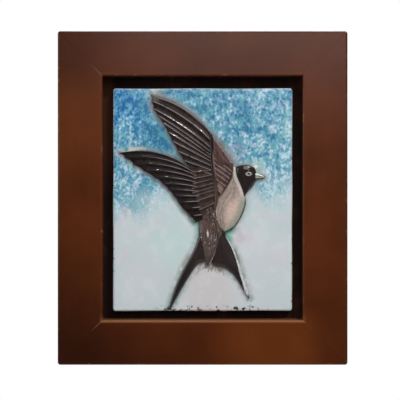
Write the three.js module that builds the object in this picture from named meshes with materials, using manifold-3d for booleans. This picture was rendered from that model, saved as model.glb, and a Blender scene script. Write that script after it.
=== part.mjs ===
// A framed relief tile to hang on a wall. A glazed tile with a flying swallow in relief floats
// on a dark board, which sits in the rebate of a wide mitred wooden frame.
//
// Millimetres. +X is to the right, +Z is up and the front faces -Y. The wall is the plane y = 0,
// and the origin is the centre of the board's back face, which lies flush with the rails' backs.
import * as THREE from "three";
import { mergeVertices, toCreasedNormals } from "three/addons/utils/BufferGeometryUtils.js";
import Module from "manifold-3d";

// Driving sizes

const tileWidth = 205;
const tileHeight = 255;
const tileThick = 13;
const tileCornerRadius = 3; // seen from the front
const tileArris = 2.4; // the soft front edge of the tile
const tileWobble = 0.4; // how far the hand-cut edges stray from a straight line
const reliefHeight = 7; // from the tile's face to the highest feather
const reliefRoot = 3; // how deep the raised parts are rooted in the slab

const reveal = 11.5; // the dark gap all round the tile
const tileDrop = 2; // the tile was set a little low on the board
const railWidth = 51;
const frameDepth = 30;
const sightRound = 2; // rounding of the inner front edge
const outerRound = 2.5; // rounding of the outer front edge
const frameCornerRadius = 3; // seen from the front
const mitreGap = 0.3;

const boardThick = 9;
const rebateWidth = 8;
const boardClearance = 0.5; // between the board's edges and the rebate

const hangBore = 10;
const hangDepth = 12;
const hangFromRebate = 22; // from the rebate to the centre of the hanging hole

// Sizes that follow from them

const openingWidth = tileWidth + 2 * reveal;
const openingHeight = tileHeight + 2 * reveal;
const frameWidth = openingWidth + 2 * railWidth;
const frameHeight = openingHeight + 2 * railWidth;
const tileFace = boardThick + tileThick; // distance of the tile's face from the wall
const boardWidth = openingWidth + 2 * (rebateWidth - boardClearance);
const boardHeight = openingHeight + 2 * (rebateWidth - boardClearance);

const wood = new THREE.MeshStandardMaterial({ name: "stained_wood", color: 0x53291a, roughness: 0.5 });
const darkBoard = new THREE.MeshStandardMaterial({ name: "painted_board", color: 0x14100f, roughness: 0.8 });
const glaze = new THREE.MeshStandardMaterial({ name: "glazed_ceramic", color: 0xa9c2cf, roughness: 0.2 });

// Joining and cutting

const kernel = await Module();
kernel.setup();

function toSolid(geometry) {
  const index = geometry.index;
  return new kernel.Manifold(
    new kernel.Mesh({
      numProp: 3,
      vertProperties: new Float32Array(geometry.attributes.position.array),
      triVerts: new Uint32Array(index.array),
    })
  );
}

// One of the library's round bodies, with its seams closed.
function roundSolid(geometry) {
  geometry.deleteAttribute("normal");
  geometry.deleteAttribute("uv");
  return toSolid(mergeVertices(geometry));
}

function toMesh(name, solid, material, creaseAngle = 0.6) {
  const { vertProperties, triVerts } = solid.getMesh();
  const geometry = new THREE.BufferGeometry();
  geometry.setAttribute("position", new THREE.BufferAttribute(new Float32Array(vertProperties), 3));
  geometry.setIndex(new THREE.BufferAttribute(new Uint32Array(triVerts), 1));
  const mesh = new THREE.Mesh(toCreasedNormals(geometry, creaseAngle), material);
  mesh.name = name;
  return mesh;
}

// A closed solid from a stack of loops with the same number of points. The loops run
// counter-clockwise as the front sees them, from the one nearest the wall to the one in front.
function loftSolid(loops) {
  const count = loops[0].length;
  const positions = loops.flat().flatMap((p) => [p.x, p.y, p.z]);
  const triangles = [];
  for (let k = 0; k + 1 < loops.length; k++) {
    for (let i = 0; i < count; i++) {
      const a = k * count + i;
      const b = k * count + ((i + 1) % count);
      triangles.push(a, b, b + count, a, b + count, a + count);
    }
  }
  const outline = loops[0].map((p) => new THREE.Vector2(p.x, p.z));
  const frontStart = (loops.length - 1) * count;
  for (const [a, b, c] of THREE.ShapeUtils.triangulateShape(outline, [])) {
    triangles.push(a, c, b);
    triangles.push(frontStart + a, frontStart + b, frontStart + c);
  }
  const geometry = new THREE.BufferGeometry();
  geometry.setAttribute("position", new THREE.BufferAttribute(new Float32Array(positions), 3));
  geometry.setIndex(triangles);
  return toSolid(geometry);
}

// The outline of a rectangle with rounded corners at a distance from the wall.
// The stray function moves a point outward, by its place along the outline.
function roundedOutline(width, height, radius, wallDistance, options = {}) {
  const { inset = 0, cornerSteps = 5, sideSteps = 1, stray = () => 0 } = options;
  const loop = [];
  const corners = [
    [1, -1, -Math.PI / 2],
    [1, 1, 0],
    [-1, 1, Math.PI / 2],
    [-1, -1, Math.PI],
  ];
  const cornerPoint = ([sx, sz, start], step) => {
    const angle = start + (step / cornerSteps) * (Math.PI / 2);
    const out = new THREE.Vector3(Math.cos(angle), 0, Math.sin(angle));
    const centre = new THREE.Vector3(sx * (width / 2 - radius), -wallDistance, sz * (height / 2 - radius));
    return { centre, out };
  };
  corners.forEach((corner, k) => {
    for (let step = 0; step <= cornerSteps; step++) {
      const { centre, out } = cornerPoint(corner, step);
      loop.push(centre.addScaledVector(out, radius - inset + stray(k / 4)));
    }
    const last = cornerPoint(corner, cornerSteps);
    const next = cornerPoint(corners[(k + 1) % 4], 0);
    for (let step = 1; step < sideSteps; step++) {
      const along = step / sideSteps;
      const point = last.centre.clone().lerp(next.centre, along);
      const fade = Math.sin(Math.PI * along);
      loop.push(point.addScaledVector(last.out, radius - inset + fade * stray((k + along) / 4)));
    }
  });
  return loop;
}

// The frame

// The section of a rail: how far out from the opening, and how far from the wall.
function railSection() {
  const section = [
    [rebateWidth, 0],
    [railWidth, 0],
  ];
  const arcSteps = 5;
  for (let step = 0; step <= arcSteps; step++) {
    const angle = (step / arcSteps) * (Math.PI / 2);
    section.push([
      railWidth - outerRound + outerRound * Math.cos(angle),
      frameDepth - outerRound + outerRound * Math.sin(angle),
    ]);
  }
  for (let step = 0; step <= arcSteps; step++) {
    const angle = Math.PI / 2 + (step / arcSteps) * (Math.PI / 2);
    section.push([
      sightRound + sightRound * Math.cos(angle),
      frameDepth - sightRound + sightRound * Math.sin(angle),
    ]);
  }
  section.push([0, boardThick], [rebateWidth, boardThick]);
  return section;
}

const frameBlank = loftSolid([
  roundedOutline(frameWidth, frameHeight, frameCornerRadius, 0),
  roundedOutline(frameWidth, frameHeight, frameCornerRadius, frameDepth),
]);

// A rail below the opening, cut at 45 degrees at both ends, then turned about the middle
// of the frame into its place by quarter turns.
function railSolid(openingAlong, openingAcross, quarterTurns) {
  const section = railSection();
  const mitreShift = (mitreGap / 2) * Math.SQRT2;
  const positions = [];
  for (const side of [-1, 1]) {
    for (const [out, wallDistance] of section) {
      const halfLength = openingAlong / 2 + out - mitreShift;
      positions.push(side * halfLength, -wallDistance, -(openingAcross / 2 + out));
    }
  }
  const count = section.length;
  const triangles = [];
  for (let i = 0; i < count; i++) {
    const j = (i + 1) % count;
    triangles.push(i, i + count, j + count, i, j + count, j);
  }
  const outline = section.map(([out, wallDistance]) => new THREE.Vector2(out, wallDistance));
  for (const [a, b, c] of THREE.ShapeUtils.triangulateShape(outline, [])) {
    triangles.push(a, b, c);
    triangles.push(a + count, c + count, b + count);
  }
  const geometry = new THREE.BufferGeometry();
  geometry.setAttribute("position", new THREE.BufferAttribute(new Float32Array(positions), 3));
  geometry.setIndex(triangles);
  geometry.rotateY((quarterTurns * Math.PI) / 2);
  return toSolid(geometry).intersect(frameBlank);
}

// A blind hole in the back of the top rail, which takes the nail that the panel hangs on.
function hangingHole() {
  const overcut = 1;
  const bore = new THREE.CylinderGeometry(hangBore / 2, hangBore / 2, hangDepth + overcut, 32);
  const height = openingHeight / 2 + rebateWidth + hangFromRebate;
  bore.translate(0, -(hangDepth - overcut) / 2, height);
  return roundSolid(bore);
}

// The board

const board = loftSolid([
  roundedOutline(boardWidth, boardHeight, 1, 0, { cornerSteps: 1 }),
  roundedOutline(boardWidth, boardHeight, 1, boardThick, { cornerSteps: 1 }),
]);

// The tile's slab: hand-cut edges, and a soft arris round the face

function tileSlab() {
  const arrisSteps = 4;
  const turn = 2 * Math.PI;
  const stray = (place) => tileWobble * Math.sin(turn * (5 * place + 0.15)) * Math.cos(turn * 3 * place);
  const loopAt = (wallDistance, inset) =>
    roundedOutline(tileWidth, tileHeight, tileCornerRadius, wallDistance, { inset, sideSteps: 10, stray });
  const loops = [loopAt(boardThick, 0)];
  for (let step = 0; step <= arrisSteps; step++) {
    const angle = (step / arrisSteps) * (Math.PI / 2);
    loops.push(loopAt(tileFace - tileArris * (1 - Math.sin(angle)), tileArris * (1 - Math.cos(angle))));
  }
  return loftSolid(loops);
}

// The swallow. Its curves are in hundredths of the tile's width and height from the tile's
// centre, and its heights are shares of the relief's height.

function curve(...points) {
  const spline = new THREE.SplineCurve(points.map(([x, z]) => new THREE.Vector2(x, z)));
  return (t) => {
    const point = spline.getPoint(t);
    return new THREE.Vector2((point.x / 100) * tileWidth, (point.y / 100) * tileHeight);
  };
}

// A wing lies between its root and its tip, each run from the leading edge back. Its feathers
// are bowed the most at the leading edge, and the fade says how soon they straighten.
const raisedWing = {
  root: curve([5.2, 29], [4, 23.6], [4.3, 20], [4.9, 17], [5.2, 13.1], [5.2, 9.9]),
  tip: curve([-28.9, 47], [-27.5, 40.9], [-22.1, 34.4], [-16.7, 26.2], [-10.3, 17.6], [-4.1, 12.2]),
  feathers: 10,
  bow: 0.034,
  fade: 6.4,
};
const nearWing = {
  root: curve([-4.1, 12.4], [-3.4, 10.4], [-2.7, 6.8], [-2.2, 2.5], [-1.4, -2.7], [0.4, -9.2]),
  tip: curve([-46.6, 20.9], [-37.4, 15.3], [-24.6, 8.9], [-17, 2.9], [-11.6, -3.4], [-4.6, -9.9]),
  feathers: 11,
  bow: 0.044,
  fade: 3.5,
};
// The small feathers between the roots of the wings and the arm.
const raisedCoverts = {
  root: curve([5.4, 23.5], [5.8, 18.9], [6.3, 14.3], [7, 9.6], [8, 4.5]),
  tip: curve([16.8, 15.8], [16.6, 12.4], [15.2, 9.4], [12.9, 5.9], [10, 2.4]),
  feathers: 8,
  bow: 0,
  fade: 1,
};
const nearCoverts = {
  root: curve([6, 14.4], [6.3, 10.8], [7.1, 6.7], [8, 3.2], [7.7, -3.6]),
  tip: curve([-7.5, 14.6], [-5.4, 8.8], [-6.2, 3.8], [-4.1, 0.1], [-0.7, -7.7]),
  feathers: 9,
  bow: 0,
  fade: 1,
};
// The shoulder is the plain patch above the raised coverts.
const shoulder = {
  left: curve([5.2, 29], [5.4, 24.3], [5.6, 19.8], [5.8, 14.9]),
  right: curve([5.7, 29.1], [9, 25.6], [12.5, 21.6], [17, 16.2]),
};
// The arm is the dark roll down the middle, from the shoulder to the body.
const arm = {
  left: curve([3.5, 30.4], [3.5, 25.7], [3.6, 20.7], [3.9, 15.8], [4.9, 9.5],
    [6, 4.1], [6.4, -0.5], [5.7, -4.1]),
  right: curve([5.6, 28.9], [5.9, 25.2], [6.5, 20.7], [7, 15.8], [8.1, 9.5],
    [8.8, 4.1], [8.5, -0.5], [7.4, -4.5]),
};
const belly = {
  left: curve([16.8, 14.9], [16.3, 11.4], [14, 7.6], [10.9, 3.6],
    [7, -0.2], [6, -5.9], [8.2, -10.8], [11.8, -14.2]),
  right: curve([18.4, 14.6], [19.2, 10.4], [22, 5.2], [24.2, 0],
    [23.3, -4.3], [21.2, -8.3], [17.7, -12.2], [13, -14.4]),
};
const rump = {
  left: curve([-3, -1.8], [-2.1, -9.2], [-1.9, -14.9], [-1, -20.7], [0.7, -25.7], [2.6, -29]),
  right: curve([8.5, -0.9], [9.7, -9], [11.2, -14.2], [9.7, -19.1], [7.3, -23.9], [4, -29]),
};
const leftStreamer = {
  left: curve([-1.3, -14.4], [-4, -21.2], [-7.2, -26.3], [-11.5, -32.6], [-15.6, -40.1], [-18.8, -49.1]),
  right: curve([4.9, -18.5], [3.8, -26.6], [-2.4, -28.6], [-7.9, -34.7], [-13, -41.6], [-18.2, -49.2]),
};
const rightStreamer = {
  left: curve([4.9, -18.5], [5.4, -28.4], [11.9, -30.5], [17.5, -34], [21.7, -39.2], [25.5, -44.1]),
  right: curve([12.1, -14.9], [16.9, -21.6], [19.8, -27.5], [21.9, -33.1], [24.2, -38.5], [26.1, -44.1]),
};
const head = {
  left: curve([21.7, 15.4], [19, 14.6], [18.2, 12.6], [19.2, 9.5], [21.3, 5.4], [22.9, 1.4]),
  right: curve([25, 15.4], [28.6, 14.5], [29.9, 12.2], [29.6, 9.4], [26.8, 5.6], [23.3, 1.4]),
};
const beak = {
  left: curve([29.4, 12], [31.2, 11.6], [32.9, 11], [34.4, 10.2]),
  right: curve([29.4, 9.4], [31.2, 9.6], [32.9, 9.7], [34.5, 9.9]),
};
const eye = { x: 25.6, z: 11.5, width: 4, height: 2.3 };

// A raised patch between two curves, as a closed solid rooted in the slab. u runs across from
// the first curve to the second, and v along them. The bow lifts the middle of each crossing line.
function patchSolid({ from, to, across, along, height, bow = () => 0, reach = () => 1 }) {
  const front = [];
  const rooted = [];
  for (let j = 0; j <= along; j++) {
    const v = j / along;
    const start = from(v);
    const end = to(v);
    const sideways = new THREE.Vector2(start.y - end.y, end.x - start.x).normalize();
    if (sideways.y < 0) sideways.negate();
    for (let i = 0; i <= across; i++) {
      const u = i / across;
      const place = u * reach(v);
      const point = start.clone().lerp(end, place);
      point.addScaledVector(sideways, bow(v) * 4 * place * (1 - place));
      front.push(point.x, -(tileFace + reliefHeight * height(u, v)), point.y);
      rooted.push(point.x, -(tileFace - reliefRoot), point.y);
    }
  }
  const row = across + 1;
  const layer = row * (along + 1);
  const triangles = [];
  const quad = (a, b, c, d) => triangles.push(a, b, c, a, c, d);
  for (let j = 0; j < along; j++) {
    for (let i = 0; i < across; i++) {
      const a = j * row + i;
      quad(a, a + 1, a + row + 1, a + row);
      quad(layer + a, layer + a + row, layer + a + row + 1, layer + a + 1);
    }
    const first = j * row;
    const last = first + across;
    quad(first, first + row, layer + first + row, layer + first);
    quad(last, layer + last, layer + last + row, last + row);
  }
  for (let i = 0; i < across; i++) {
    const end = along * row + i;
    quad(i, layer + i, layer + i + 1, i + 1);
    quad(end, end + 1, layer + end + 1, layer + end);
  }
  const geometry = new THREE.BufferGeometry();
  geometry.setAttribute("position", new THREE.BufferAttribute(new Float32Array([...front, ...rooted]), 3));
  geometry.setIndex(triangles);
  return toSolid(outward(geometry));
}

// Turns a closed surface right side out.
function outward(geometry) {
  const at = geometry.attributes.position;
  const index = geometry.index;
  const corner = (i) => new THREE.Vector3().fromBufferAttribute(at, index.getX(i));
  let volume = 0;
  for (let i = 0; i < index.count; i += 3) {
    volume += corner(i).dot(corner(i + 1).cross(corner(i + 2))) / 6;
  }
  if (volume < 0) {
    for (let i = 0; i < index.count; i += 3) {
      const kept = index.getX(i + 1);
      index.setX(i + 1, index.getX(i + 2));
      index.setX(i + 2, kept);
    }
  }
  return geometry;
}

const rise = (u) => Math.sqrt(Math.max(0, 4 * u * (1 - u))); // 0 at both edges and 1 in the middle
const gouge = (v, feathers) => Math.abs(Math.sin(Math.PI * feathers * v)); // 0 on the crests

function featherPatch(wing, { across, rootHeight, tipHeight, gougeDepth, notch = 0 }) {
  const { root, tip, feathers, bow, fade } = wing;
  return patchSolid({
    from: root,
    to: tip,
    across,
    along: feathers * 4,
    bow: (v) => bow * tileHeight * (1 - v) ** fade,
    reach: (v) => 1 - notch * gouge(v, feathers),
    height: (u, v) => {
      const crestHeight = THREE.MathUtils.lerp(rootHeight, tipHeight, u);
      return crestHeight - gougeDepth * gouge(v, feathers) * (1 - 0.4 * u);
    },
  });
}

function rolledPatch({ left, right }, { across, along, edgeHeight, midHeight, taper = () => 1 }) {
  return patchSolid({
    from: left,
    to: right,
    across,
    along,
    height: (u, v) => edgeHeight + (midHeight - edgeHeight) * rise(u) * taper(v),
  });
}

function swallowSolids() {
  const soften = (v) => Math.min(1, 0.35 + 1.3 * rise(v));
  const roundOff = (v) => 0.3 + 0.7 * rise(v);
  const wing = { across: 10, tipHeight: 0.6, notch: 0.025 };
  const streamer = { across: 4, along: 14, edgeHeight: 0.3, midHeight: 0.5, taper: (v) => 1 - 0.6 * v };
  const shape = [
    featherPatch(raisedWing, { ...wing, rootHeight: 0.92, gougeDepth: 0.22 }),
    featherPatch(nearWing, { ...wing, rootHeight: 0.9, gougeDepth: 0.26 }),
    featherPatch(raisedCoverts, { across: 3, rootHeight: 0.88, tipHeight: 0.74, gougeDepth: 0.14 }),
    featherPatch(nearCoverts, { across: 3, rootHeight: 0.9, tipHeight: 0.88, gougeDepth: 0.18 }),
    rolledPatch(shoulder, { across: 4, along: 8, edgeHeight: 0.7, midHeight: 0.9 }),
    rolledPatch(arm, { across: 4, along: 12, edgeHeight: 0.88, midHeight: 1, taper: soften }),
    rolledPatch(belly, { across: 8, along: 16, edgeHeight: 0.4, midHeight: 1, taper: soften }),
    rolledPatch(rump, { across: 8, along: 14, edgeHeight: 0.4, midHeight: 0.8, taper: (v) => 1 - 0.5 * v }),
    rolledPatch(leftStreamer, streamer),
    rolledPatch(rightStreamer, streamer),
    rolledPatch(head, { across: 8, along: 12, edgeHeight: 0.45, midHeight: 0.85, taper: roundOff }),
    rolledPatch(beak, { across: 4, along: 6, edgeHeight: 0.35, midHeight: 0.7, taper: (v) => 1 - 0.4 * v }),
  ];
  const ball = new THREE.SphereGeometry(1, 16, 10);
  ball.scale((eye.width / 200) * tileWidth, 0.2 * reliefHeight, (eye.height / 200) * tileHeight);
  ball.translate((eye.x / 100) * tileWidth, -(tileFace + 0.8 * reliefHeight), (eye.z / 100) * tileHeight);
  shape.push(roundSolid(ball));
  return shape;
}

// The panel

const group = new THREE.Group();
group.name = "swallow_tile_panel";

const topRail = railSolid(openingWidth, openingHeight, 2).subtract(hangingHole());
group.add(toMesh("frame_rail_top", topRail, wood));
group.add(toMesh("frame_rail_bottom", railSolid(openingWidth, openingHeight, 0), wood));
group.add(toMesh("frame_rail_left", railSolid(openingHeight, openingWidth, 1), wood));
group.add(toMesh("frame_rail_right", railSolid(openingHeight, openingWidth, 3), wood));
group.add(toMesh("backing_board", board, darkBoard));
const tile = kernel.Manifold.union([tileSlab(), ...swallowSolids()]);
group.add(toMesh("relief_tile", tile.translate([0, 0, -tileDrop]), glaze));

export default group;
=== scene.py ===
# %% [markdown]
# # A framed relief tile
# The object is a glazed ceramic tile with a flying swallow in relief. It floats on a dark board
# inside a wide, mitred frame of stained wood, and hangs flat on a wall.
#
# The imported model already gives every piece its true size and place, so this lesson loads it
# as a fixed frame and then makes the pieces that show: four rails, the board and the tile.
# Everything is in metres, +X to the right, +Z up, and the front faces -Y.

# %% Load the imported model
from functools import partialmethod

import bmesh
import bpy
import numpy as np
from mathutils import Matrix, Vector, kdtree


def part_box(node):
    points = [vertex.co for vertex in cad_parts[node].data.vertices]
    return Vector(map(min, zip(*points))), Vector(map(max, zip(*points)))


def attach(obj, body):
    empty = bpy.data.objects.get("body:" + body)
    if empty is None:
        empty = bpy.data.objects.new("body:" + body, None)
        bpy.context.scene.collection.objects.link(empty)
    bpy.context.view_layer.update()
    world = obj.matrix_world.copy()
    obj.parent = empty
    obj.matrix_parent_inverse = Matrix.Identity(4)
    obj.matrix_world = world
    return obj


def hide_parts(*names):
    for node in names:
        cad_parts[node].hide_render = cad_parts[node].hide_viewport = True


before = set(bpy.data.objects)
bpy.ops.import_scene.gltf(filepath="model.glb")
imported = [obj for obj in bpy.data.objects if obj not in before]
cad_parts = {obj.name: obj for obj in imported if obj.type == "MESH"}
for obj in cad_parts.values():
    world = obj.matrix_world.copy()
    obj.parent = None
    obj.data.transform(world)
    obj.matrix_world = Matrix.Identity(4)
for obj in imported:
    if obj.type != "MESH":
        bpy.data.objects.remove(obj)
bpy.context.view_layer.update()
MM = 0.001

# %% [markdown]
# ## Sizes
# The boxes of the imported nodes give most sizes: the rails give the opening and the depth, and
# the board gives its thickness. Roundings and gaps can't be read from a box, so they are named
# here.

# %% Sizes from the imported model
left_low, left_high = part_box("frame_rail_left")
_, bottom_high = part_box("frame_rail_bottom")
board_low, board_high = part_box("backing_board")
tile_low, tile_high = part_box("relief_tile")

BOARD_PLAY = 0.5 * MM
HALF_OPENING = Vector((-left_high.x, 0, -bottom_high.z))
RAIL_WIDTH = left_high.x - left_low.x
HALF_FRAME = HALF_OPENING + Vector((RAIL_WIDTH, 0, RAIL_WIDTH))
FRAME_DEPTH = -left_low.y
BOARD_THICK = -board_low.y
REBATE = board_high.x - HALF_OPENING.x + BOARD_PLAY

EDGE_STRAY = 0.4 * MM
TILE_WIDTH = np.floor((tile_high.x - tile_low.x) / MM) * MM
TILE_HEIGHT = np.floor((tile_high.z - tile_low.z) / MM) * MM
TILE_CENTRE = (tile_low + tile_high) / 2
RELIEF = 7 * MM
TILE_FACE = -tile_low.y - RELIEF
TILE_CORNER = 3 * MM
TILE_ARRIS = 2.4 * MM

SIGHT_ROUND = 2 * MM
OUTER_ROUND = 2.5 * MM
FRAME_CORNER = 3 * MM
MITRE_GAP = 0.05 * MM
SAWN_EDGE = 0.05 * MM
print("opening in mm:", round(2 * HALF_OPENING.x / MM, 1), "x", round(2 * HALF_OPENING.z / MM, 1))
print("tile in mm:", round(TILE_WIDTH / MM, 1), "x", round(TILE_HEIGHT / MM, 1))

# %% [markdown]
# ## Camera
# The photograph looks straight at the panel from well back, so its edges hardly converge. A long
# lens does the same. The frame's centre lies a little right of the picture's middle and a little
# above it, so the camera itself is moved by that much, and needs no lens shift.

# %% Camera
CAMERA_DISTANCE = 1.3
PICTURE_WIDTH = 0.4548
FRAME_OFF_CENTRE = Vector((0.003, 0, 0.0023))

bpy.ops.object.camera_add(
    location=(-FRAME_OFF_CENTRE.x, -FRAME_DEPTH - CAMERA_DISTANCE, -FRAME_OFF_CENTRE.z),
    rotation=(np.pi / 2, 0, 0),
)
camera = bpy.context.object
camera.name = "camera"
camera.data.sensor_width = 36
camera.data.lens = camera.data.sensor_width * CAMERA_DISTANCE / PICTURE_WIDTH
bpy.context.scene.camera = camera
bpy.context.scene.view_settings.view_transform = "Standard"
print("lens in mm:", round(camera.data.lens, 1))

# %% [markdown]
# ## Light and floor
# A glossy glaze shows whatever stands in front of it, so the room in front stays dim and the
# light comes from large soft panels above and beside the object. The world is white to the
# camera and grey to everything else, which keeps the dark glaze dark against a white ground.

# %% World
world = bpy.data.worlds.new("white_ground")
bpy.context.scene.world = world
world.use_nodes = True
WORLD_LIGHT = 0.1
nodes = world.node_tree.nodes
links = world.node_tree.links
nodes.clear()
ground = nodes.new("ShaderNodeBackground")
ground.inputs["Color"].default_value = (1, 1, 1, 1)
ground.inputs["Strength"].default_value = 1
room = nodes.new("ShaderNodeBackground")
room.inputs["Color"].default_value = (0.93, 0.96, 1, 1)
room.inputs["Strength"].default_value = WORLD_LIGHT
ray = nodes.new("ShaderNodeLightPath")
either = nodes.new("ShaderNodeMixShader")
output = nodes.new("ShaderNodeOutputWorld")
links.new(ray.outputs["Is Camera Ray"], either.inputs["Fac"])
links.new(room.outputs[0], either.inputs[1])
links.new(ground.outputs[0], either.inputs[2])
links.new(either.outputs[0], output.inputs["Surface"])

# %% Floor and lamps
FLOOR_DROP = 0.95
FLOOR_SIZE = 5
bpy.ops.mesh.primitive_plane_add(size=FLOOR_SIZE, location=(0, 0, -FLOOR_DROP))
floor = bpy.context.object
floor.name = "floor"
floor_finish = bpy.data.materials.new("pale_floor")
floor_finish.use_nodes = True
matt = floor_finish.node_tree.nodes["Principled BSDF"].inputs
matt["Base Color"].default_value = (0.8, 0.8, 0.79, 1)
matt["Roughness"].default_value = 0.8
floor.data.materials.append(floor_finish)


def soft_lamp(name, place, size, power, colour=(1, 1, 1)):
    """Adds a square area lamp that faces the middle of the panel."""
    aim = (-Vector(place)).to_track_quat("-Z", "Y").to_euler()
    bpy.ops.object.light_add(type="AREA", location=place, rotation=aim)
    lamp = bpy.context.object
    lamp.name = name
    lamp.data.size = size
    lamp.data.energy = power
    lamp.data.color = colour


soft_lamp("key_lamp", place=(0.75, -1.1, 1.35), size=0.35, power=24, colour=(1, 0.985, 0.96))
soft_lamp("side_lamp", place=(-1.5, -0.9, 0.3), size=0.9, power=8.6, colour=(0.96, 0.98, 1))
soft_lamp("sheen_lamp", place=(0.25, -2.1, 0.92), size=1.1, power=15)
soft_lamp("glint_lamp", place=(-0.1, -1, 1.3), size=0.08, power=2.5)
soft_lamp("back_lamp", place=(0.2, 1.6, 1.2), size=1.2, power=22)

# %% [markdown]
# ## Working tools
# Each piece starts as a primitive and is shaped in edit mode. Edges are picked by their place,
# which says more than a list of numbers would and still holds when a size changes.

# %% Helpers for shaping
SHARPER_THAN = np.radians(32)


def only_select(piece):
    """Selects one object and makes it active, with everything else deselected."""
    bpy.ops.object.select_all(action="DESELECT")
    piece.select_set(True)
    bpy.context.view_layer.objects.active = piece


def start_with(add, name, **settings):
    """Adds a primitive with nothing else selected, and applies its place to its mesh."""
    bpy.ops.object.select_all(action="DESELECT")
    add(**settings)
    bpy.ops.object.transform_apply(location=True, rotation=True, scale=True)
    piece = bpy.context.object
    piece.name = name
    return piece


def box_between(name, corner, opposite):
    """A box between two corners."""
    low = Vector(map(min, corner, opposite))
    high = Vector(map(max, corner, opposite))
    add_cube = bpy.ops.mesh.primitive_cube_add
    return start_with(add_cube, name, size=1, location=(low + high) / 2, scale=high - low)


def edit(piece, action="SELECT"):
    """Enters edit mode with all edges of a piece selected, or none."""
    only_select(piece)
    bpy.ops.object.mode_set(mode="EDIT")
    bpy.ops.mesh.select_mode(type="EDGE")
    bpy.ops.mesh.select_all(action=action)


def bevel_edges(piece, wanted, offset, segments):
    """Rounds those edges whose two ends pass the test together."""
    edit(piece, "DESELECT")
    cage = bmesh.from_edit_mesh(piece.data)
    for edge in cage.edges:
        edge.select_set(wanted(*(end.co for end in edge.verts)))
    bmesh.update_edit_mesh(piece.data)
    bpy.ops.mesh.bevel(offset=offset, segments=segments)
    bpy.ops.object.mode_set(mode="OBJECT")


def both(passes):
    """Makes a test of one place into a test of an edge's two ends."""
    return lambda start, end: passes(start) and passes(end)


def face_outwards(piece):
    """Turns all faces of a closed piece outwards."""
    edit(piece)
    bpy.ops.mesh.normals_make_consistent(inside=False)
    bpy.ops.object.mode_set(mode="OBJECT")


def smooth_over_bevels(piece):
    """Shades the roundings smooth and keeps the large faces flat and the mitres sharp."""
    only_select(piece)
    bpy.ops.object.shade_smooth_by_angle(angle=SHARPER_THAN)
    step = piece.modifiers.new("flat_faces", "WEIGHTED_NORMAL")
    step.keep_sharp = True
    bpy.ops.object.modifier_apply(modifier=step.name)


def combine(piece, tool, operation, keep_tool=False):
    """Cuts, joins or intersects a piece with a tool, and applies the result."""
    only_select(piece)
    step = piece.modifiers.new(operation.lower(), "BOOLEAN")
    step.operation = operation
    step.solver = "EXACT"
    step.object = tool
    bpy.ops.object.modifier_apply(modifier=step.name)
    if not keep_tool:
        bpy.data.objects.remove(tool)


# %% [markdown]
# ## The frame
# A frame maker planes one moulding, cuts the rebate for the board at its back, eases the two
# front edges, and saws it at 45 degrees. The same steps are taken here: a bar, a rebate cut,
# a bevel on the front edges, and a bisect at each end. The outer corners of the joined frame
# are slightly rounded, so each bar is first trimmed by one block with rounded corners.

# %% The block that rounds the frame's outer corners
OVERCUT = 1 * MM
corner_block = box_between(
    "corner_block",
    Vector((-HALF_FRAME.x, OVERCUT, -HALF_FRAME.z)),
    Vector((HALF_FRAME.x, -FRAME_DEPTH - OVERCUT, HALF_FRAME.z)),
)
across_depth = lambda start, end: abs(start.y - end.y) > FRAME_DEPTH / 2
bevel_edges(corner_block, across_depth, FRAME_CORNER, segments=6)


# %% One rail
NEAR = 0.02 * MM


def make_rail(name, out):
    """A mitred rail on the side of the opening that the vector out points to."""
    along = Vector((abs(out.z), 0, abs(out.x)))
    reach = abs(out.dot(HALF_OPENING))
    half_length = along.dot(HALF_FRAME)
    front = Vector((0, -FRAME_DEPTH, 0))
    rail = box_between(
        name,
        out * reach - along * half_length,
        out * (reach + RAIL_WIDTH) + along * half_length + front,
    )

    groove = box_between(
        "groove",
        out * (reach - REBATE) - along * (half_length + REBATE) + Vector((0, REBATE, 0)),
        out * (reach + REBATE) + along * (half_length + REBATE) + Vector((0, -BOARD_THICK, 0)),
    )
    combine(rail, groove, "DIFFERENCE")
    combine(rail, corner_block, "INTERSECT", keep_tool=True)

    on_front = lambda at: abs(at.y + FRAME_DEPTH) < NEAR
    at_sight = both(lambda at: on_front(at) and abs(at.dot(out) - reach) < NEAR)
    at_outside = both(lambda at: on_front(at) and at.dot(out) > reach + RAIL_WIDTH / 2)
    bevel_edges(rail, at_sight, SIGHT_ROUND, segments=8)
    bevel_edges(rail, at_outside, OUTER_ROUND, segments=7)

    inner_corner = along.dot(HALF_OPENING)
    for end in (-1, 1):
        sawn = (along * end - out).normalized()
        place = out * reach + along * end * inner_corner - sawn * (MITRE_GAP / 2)
        edit(rail)
        bpy.ops.mesh.bisect(plane_co=place, plane_no=sawn, use_fill=True, clear_outer=True)
        bpy.ops.object.mode_set(mode="OBJECT")
        on_cut = both(lambda at: abs((at - place).dot(sawn)) < NEAR and at.y < -BOARD_THICK)
        bevel_edges(rail, on_cut, SAWN_EDGE, segments=1)
    face_outwards(rail)
    smooth_over_bevels(rail)
    return rail


OUTWARD = dict(top=(0, 0, 1), bottom=(0, 0, -1), left=(-1, 0, 0), right=(1, 0, 0))
rails = {side: make_rail("rail_" + side, Vector(out)) for side, out in OUTWARD.items()}
bpy.data.objects.remove(corner_block)
for side, rail in rails.items():
    print(side, "rail:", len(rail.data.polygons), "faces")

# %% [markdown]
# The panel hangs on a nail, so the top rail has a blind hole in its back. A short cylinder, which
# starts just behind the rail, cuts it.

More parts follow.
